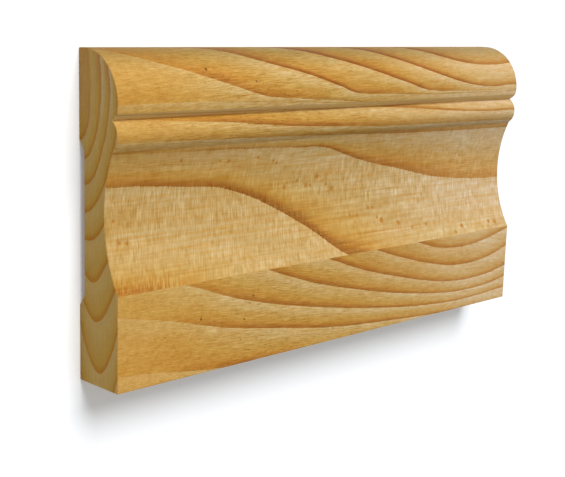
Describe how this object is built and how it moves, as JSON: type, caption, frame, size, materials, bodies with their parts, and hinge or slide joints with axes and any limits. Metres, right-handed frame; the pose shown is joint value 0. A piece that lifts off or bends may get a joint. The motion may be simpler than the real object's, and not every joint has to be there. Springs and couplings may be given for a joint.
{
  "type": "skirting board",
  "caption": "Short length of moulded pine skirting board with a rounded nose, bead, cove and flat base, and a relieved back.",
  "frame": {"origin": "middle of the back's plane: half the length, half the height, on the lands that meet the wall", "axes": "+X along the board's length, +Y up the height that it has on a wall, +Z out of the wall to the moulded face"},
  "size_m": [0.184, 0.095, 0.018],
  "materials": {
    "pine": "planed, bare"
  },
  "bodies": {
    "root": {"skirting_board": "pine"}
  },
  "joints": []
}
